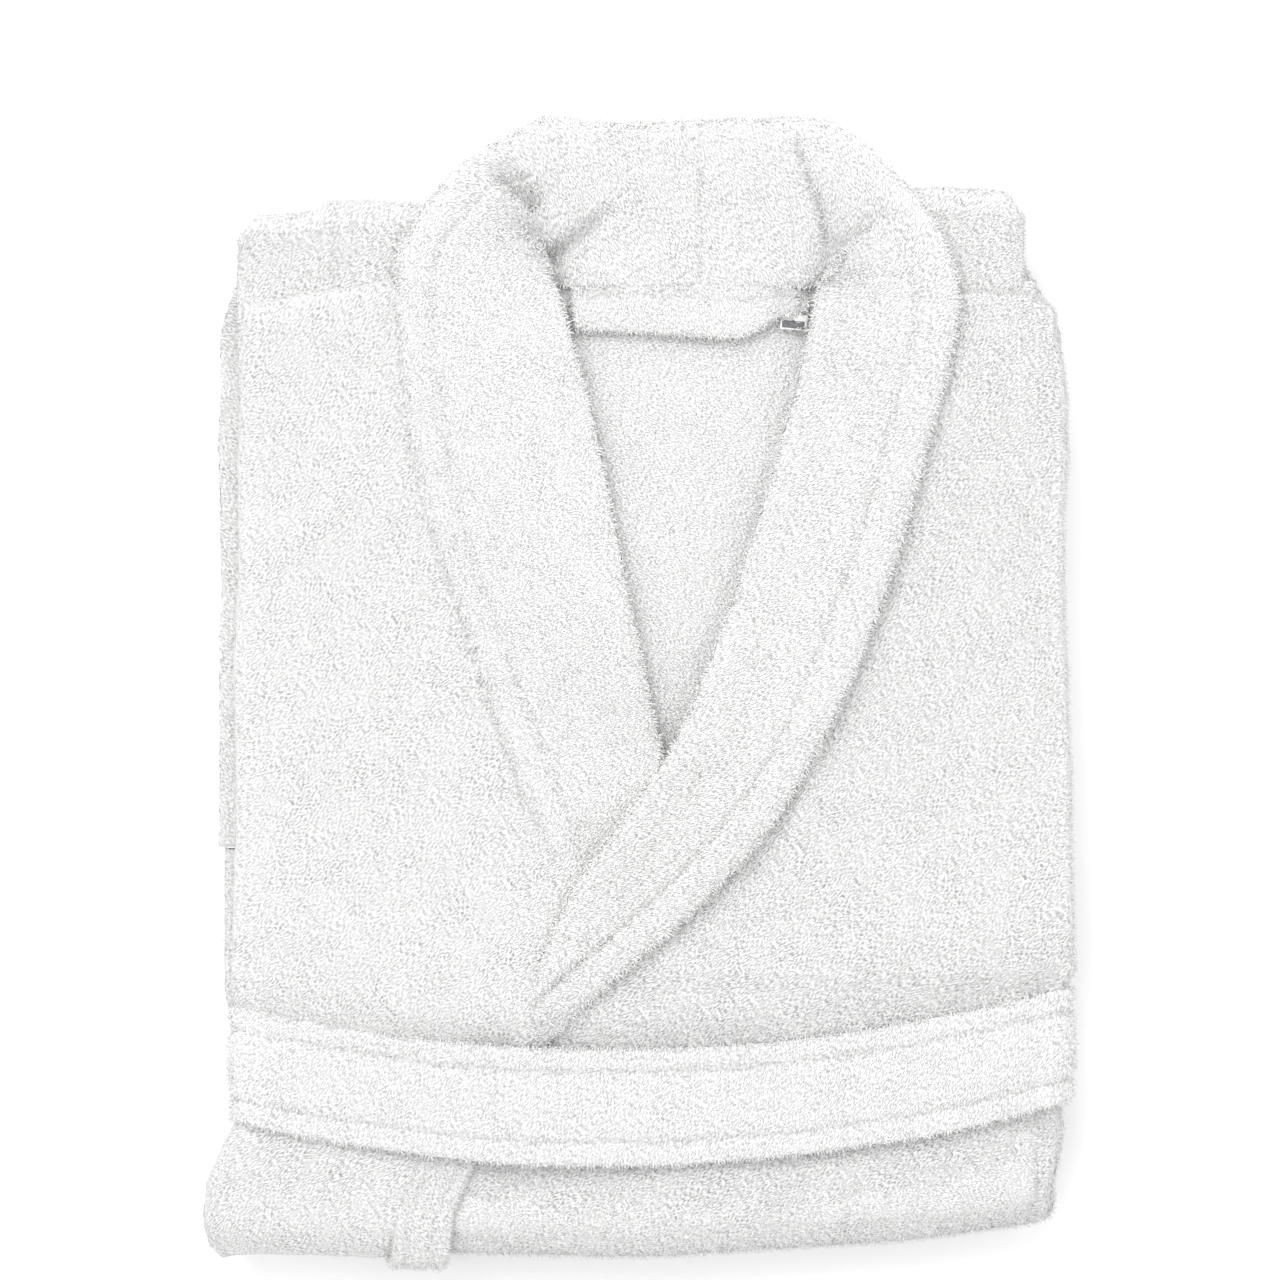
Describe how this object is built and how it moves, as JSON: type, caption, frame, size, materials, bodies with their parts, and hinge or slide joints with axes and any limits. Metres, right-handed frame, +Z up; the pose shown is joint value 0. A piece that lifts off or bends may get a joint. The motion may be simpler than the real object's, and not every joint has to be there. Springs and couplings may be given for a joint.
{
  "type": "bathrobe",
  "caption": "Long white terry bathrobe with a shawl collar, folded flat into a pack with its belt wrapped round it.",
  "frame": {"origin": "middle of the underside of the folded pack, on the surface it rests on", "axes": "+Z up out of the pack's front, +Y from the skirt's fold to the collar, +X to the wearer's left"},
  "size_m": [0.427, 0.578, 0.066],
  "materials": {
    "terry": "white looped cotton terry, matt",
    "label_tape": "plain woven tape, satin, no text"
  },
  "bodies": {
    "robe": {"back_panel": "terry", "left_front_panel": "terry", "right_front_panel": "terry", "left_sleeve": "terry", "right_sleeve": "terry", "left_cuff": "terry", "right_cuff": "terry", "left_upper_collar": "terry", "left_under_collar": "terry", "right_upper_collar": "terry", "right_under_collar": "terry", "left_front_band": "terry", "right_front_band": "terry", "left_pocket": "terry", "right_pocket": "terry", "back_hem": "terry", "left_front_hem": "terry", "right_front_hem": "terry", "left_belt_loop": "terry", "right_belt_loop": "terry", "neck_tape": "terry", "neck_label": "label_tape"},
    "belt": {"belt": "terry"},
    "hanger_loop": {"hanger_loop": "terry"}
  },
  "joints": [
    {"name": "belt_slide", "type": "slide", "parent": "robe", "child": "belt", "axis": [0, -1, 0], "range_m": [0, 0.054]},
    {"name": "hanger_loop_lift", "type": "hinge", "parent": "robe", "child": "hanger_loop", "pos_m": [0.0158, 0.204, 0.0487], "axis": [-1, 0, 0], "range_deg": [0, 80]}
  ]
}
